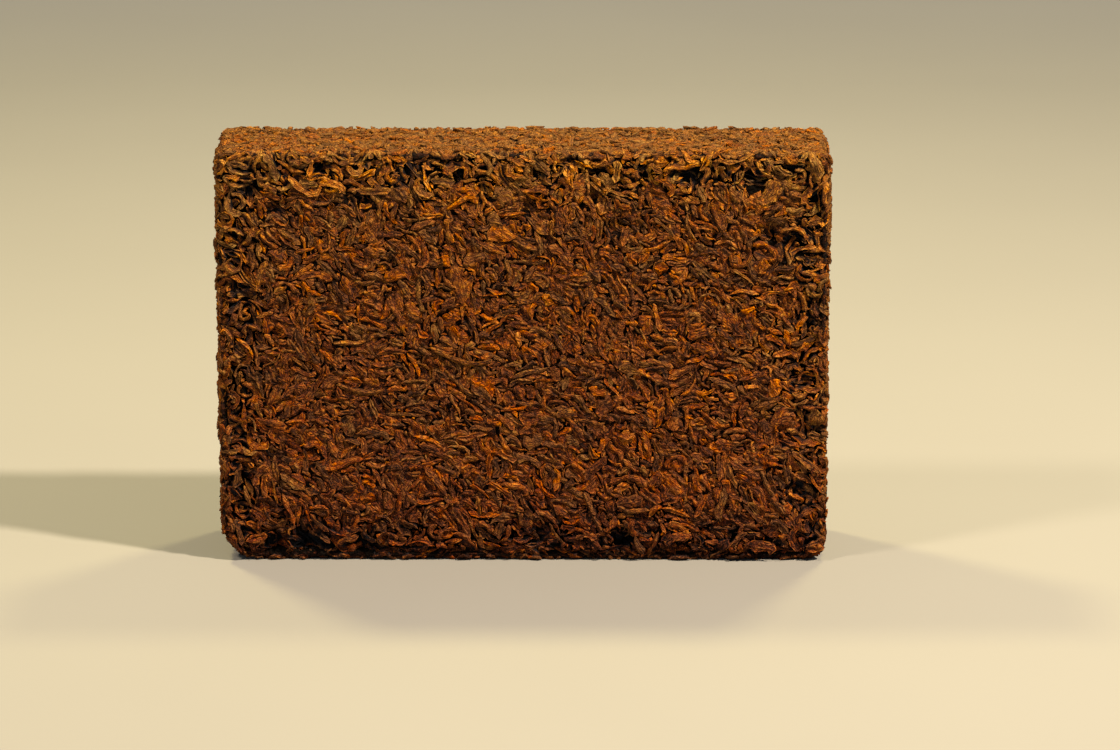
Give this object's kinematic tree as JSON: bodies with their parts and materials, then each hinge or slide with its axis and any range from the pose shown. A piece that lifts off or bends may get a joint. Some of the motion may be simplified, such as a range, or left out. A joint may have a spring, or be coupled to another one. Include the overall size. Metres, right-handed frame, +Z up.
{
  "type": "pressed pu-erh tea brick",
  "caption": "Rectangular brick of pressed, twisted dark tea leaf, standing on one long narrow side, with tight broad faces, looser leaf along the rims and one crumbled lower corner.",
  "frame": {"origin": "on the surface that the brick stands on, under the centre of its bounding box", "axes": "+X along the brick's width, +Y through its thickness away from the front broad face, +Z up"},
  "size_m": [0.14, 0.03, 0.0965],
  "materials": {
    "pressed_tea_leaf": "dry twisted leaf, dark chocolate brown with rust and olive strands, dull with a faint sheen on the ridges"
  },
  "bodies": {
    "root": {"tea_brick": "pressed_tea_leaf"}
  },
  "joints": []
}
